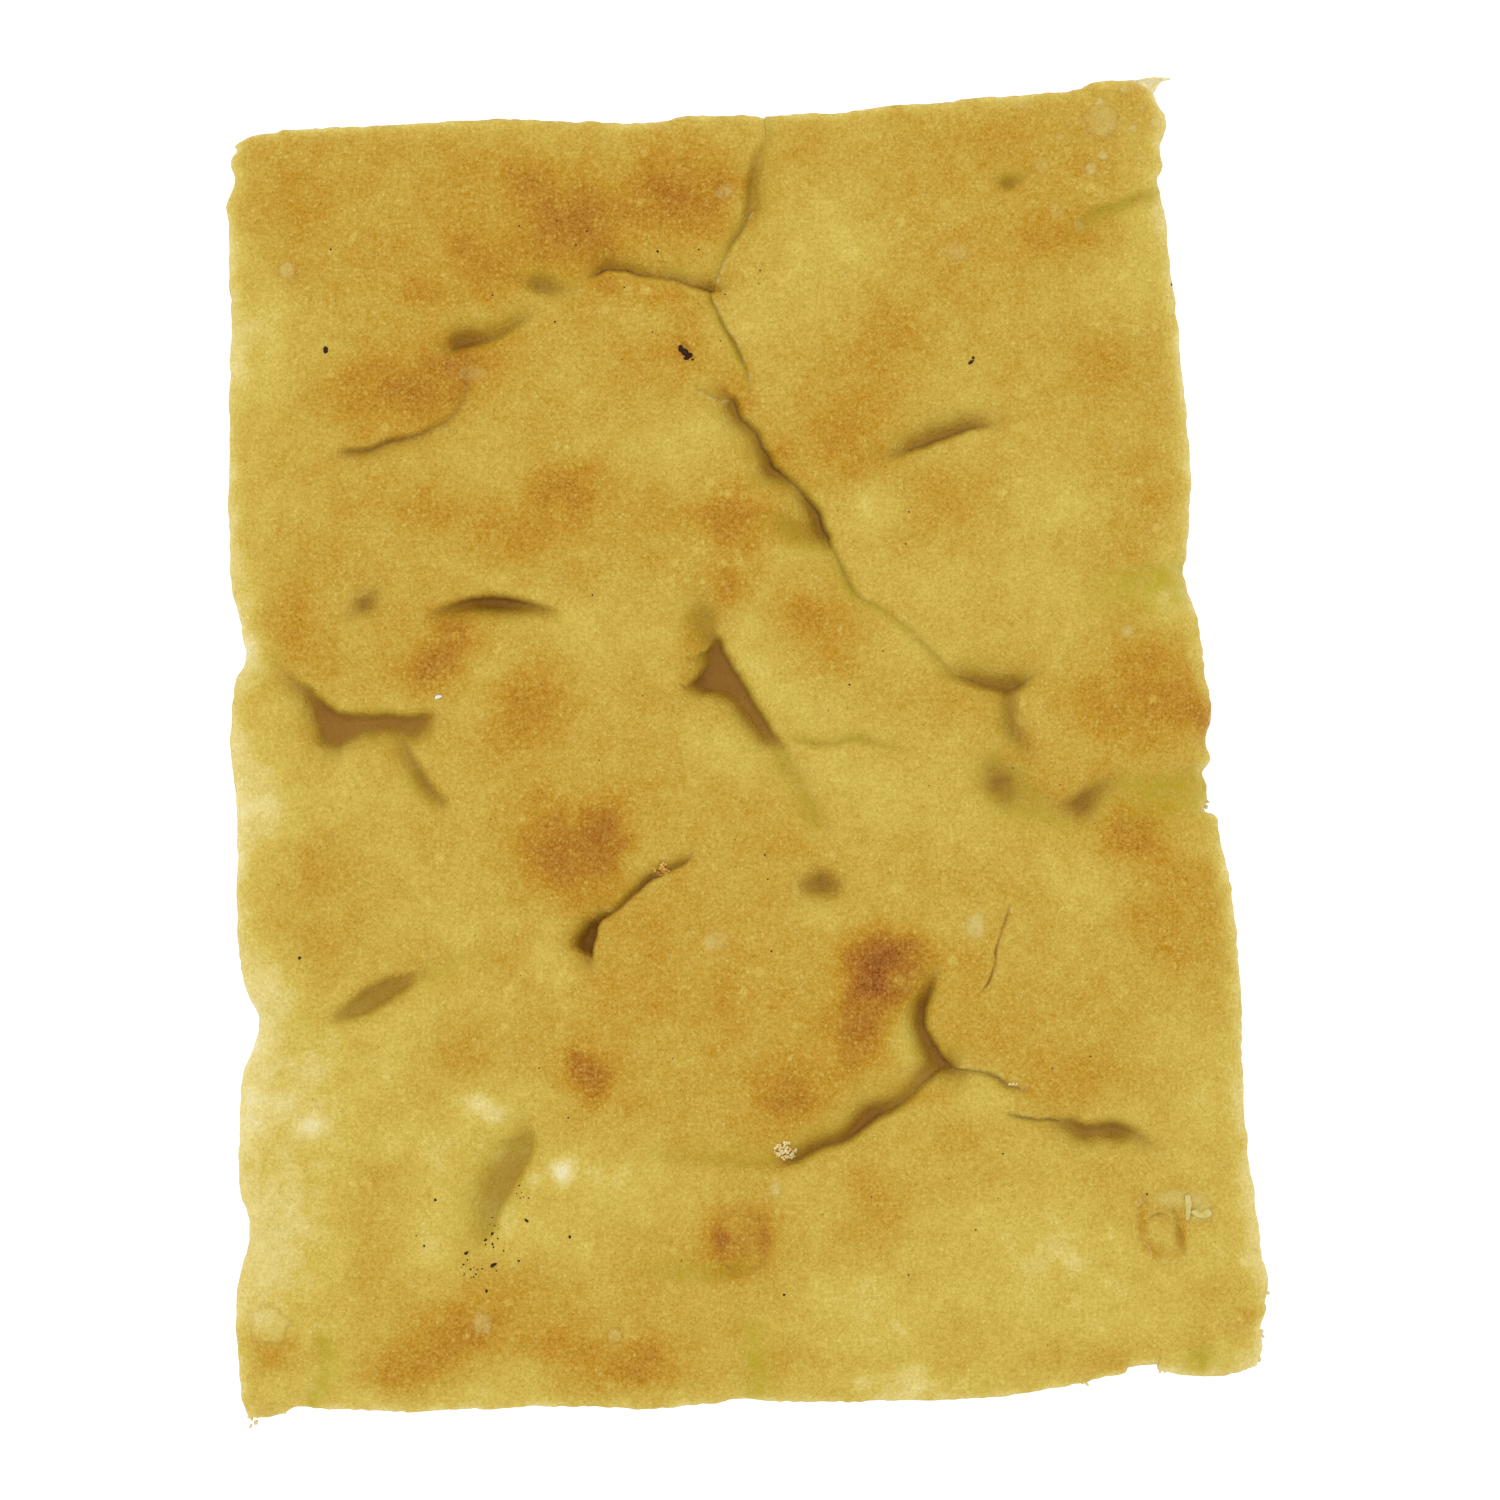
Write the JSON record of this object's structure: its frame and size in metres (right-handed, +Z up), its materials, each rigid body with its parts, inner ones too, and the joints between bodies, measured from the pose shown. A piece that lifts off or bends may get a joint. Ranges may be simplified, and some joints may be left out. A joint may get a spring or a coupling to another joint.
{
  "type": "focaccia",
  "caption": "Rectangular slab of focaccia with a golden, finger-dimpled top crust, cut crumb sides and a flat baked base.",
  "frame": {"origin": "middle of the flat base, at the centre of the part's box as seen from above", "axes": "+Z up through the top crust, +Y along the slab's length towards the end with the torn corner, +X across it"},
  "size_m": [0.1407, 0.1818, 0.0222],
  "materials": {
    "crust": "baked bread crust, golden yellow with browner patches, satin with oil, over pale open crumb at the cut sides"
  },
  "bodies": {
    "root": {"focaccia": "crust"}
  },
  "joints": []
}
